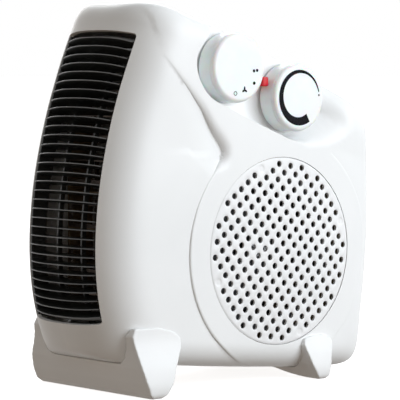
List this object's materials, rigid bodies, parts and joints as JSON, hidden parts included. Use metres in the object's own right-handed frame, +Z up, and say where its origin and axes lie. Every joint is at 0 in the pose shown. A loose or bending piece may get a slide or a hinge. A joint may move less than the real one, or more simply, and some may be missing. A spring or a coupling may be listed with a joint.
{
  "type": "fan convector heater",
  "caption": "Upright fan heater with a curved slatted outlet, a round perforated side intake, and two control knobs in a niche at the top.",
  "frame": {"origin": "on the floor, under the middle of the heater's bounding box", "axes": "+Z up; the air outlet faces -Y; the controls and the round intake are on the +X side"},
  "size_m": [0.1236, 0.2465, 0.2572],
  "materials": {
    "bronze": "sintered bronze",
    "casing": "cool white moulded plastic with a soft satin gloss",
    "cover": "cool white moulded plastic, satin",
    "dark_plastic": "black moulded plastic",
    "duct": "heat-resistant plastic, natural colour",
    "foot": "white moulded plastic, satin",
    "grille": "black heat-resistant plastic, slat edges worn slightly grey",
    "knob": "white moulded plastic with black pad-printed marks",
    "lamination": "stacked silicon steel laminations",
    "lamp_glass": "clear glass bulb",
    "lens": "clear red plastic",
    "mica": "pressed mica board",
    "ribbon": "oxidised nickel-chrome ribbon",
    "rubber": "black rubber",
    "steel": "zinc-plated steel",
    "winding": "enamelled copper winding"
  },
  "bodies": {
    "housing": {"near_shell": "casing", "far_shell": "casing", "intake_cover": "cover", "outlet_grille": "grille", "front_foot": "foot", "rear_foot": "foot", "rotary_switch": "dark_plastic", "thermostat": "steel", "indicator_lens": "lens", "neon_lamp": "lamp_glass", "motor_stator": "lamination", "motor_coil": "winding", "near_bearing_bracket": "steel", "far_bearing_bracket": "steel", "near_bearing_bush": "bronze", "far_bearing_bush": "bronze", "air_duct": "duct", "mica_frame": "mica", "heating_ribbon_front": "ribbon", "heating_ribbon_rear": "ribbon", "thermal_cutout": "steel", "thermal_fuse": "steel", "cord_gland": "dark_plastic", "rest_pad_1": "rubber", "rest_pad_2": "rubber", "casing_screw_1": "steel", "casing_screw_2": "steel", "casing_screw_3": "steel", "casing_screw_4": "steel", "casing_screw_5": "steel", "casing_screw_6": "steel", "motor_screw_1": "steel", "motor_screw_2": "steel", "cover_screw_1": "steel", "cover_screw_2": "steel", "cover_screw_3": "steel", "cover_screw_4": "steel", "foot_screw_1": "steel", "foot_screw_2": "steel", "foot_screw_3": "steel", "foot_screw_4": "steel", "terminal_block": "dark_plastic"},
    "function_control": {"function_knob": "knob", "function_shaft": "dark_plastic"},
    "thermostat_control": {"thermostat_knob": "knob", "thermostat_shaft": "dark_plastic"},
    "fan": {"fan_impeller": "dark_plastic", "motor_rotor": "lamination", "motor_shaft": "steel", "impeller_clip": "steel"}
  },
  "joints": [
    {"name": "function_turn", "type": "hinge", "parent": "housing", "child": "function_control", "pos_m": [0.045, -0.0091, 0.2143], "axis": [1, 0, 0], "range_deg": [0, 96]},
    {"name": "thermostat_turn", "type": "hinge", "parent": "housing", "child": "thermostat_control", "pos_m": [0.045, 0.0459, 0.194], "axis": [1, 0, 0], "range_deg": [-140, 150]},
    {"name": "fan_spin", "type": "hinge", "parent": "housing", "child": "fan", "pos_m": [0, 0.02835, 0.09], "axis": [1, 0, 0], "continuous": true}
  ]
}
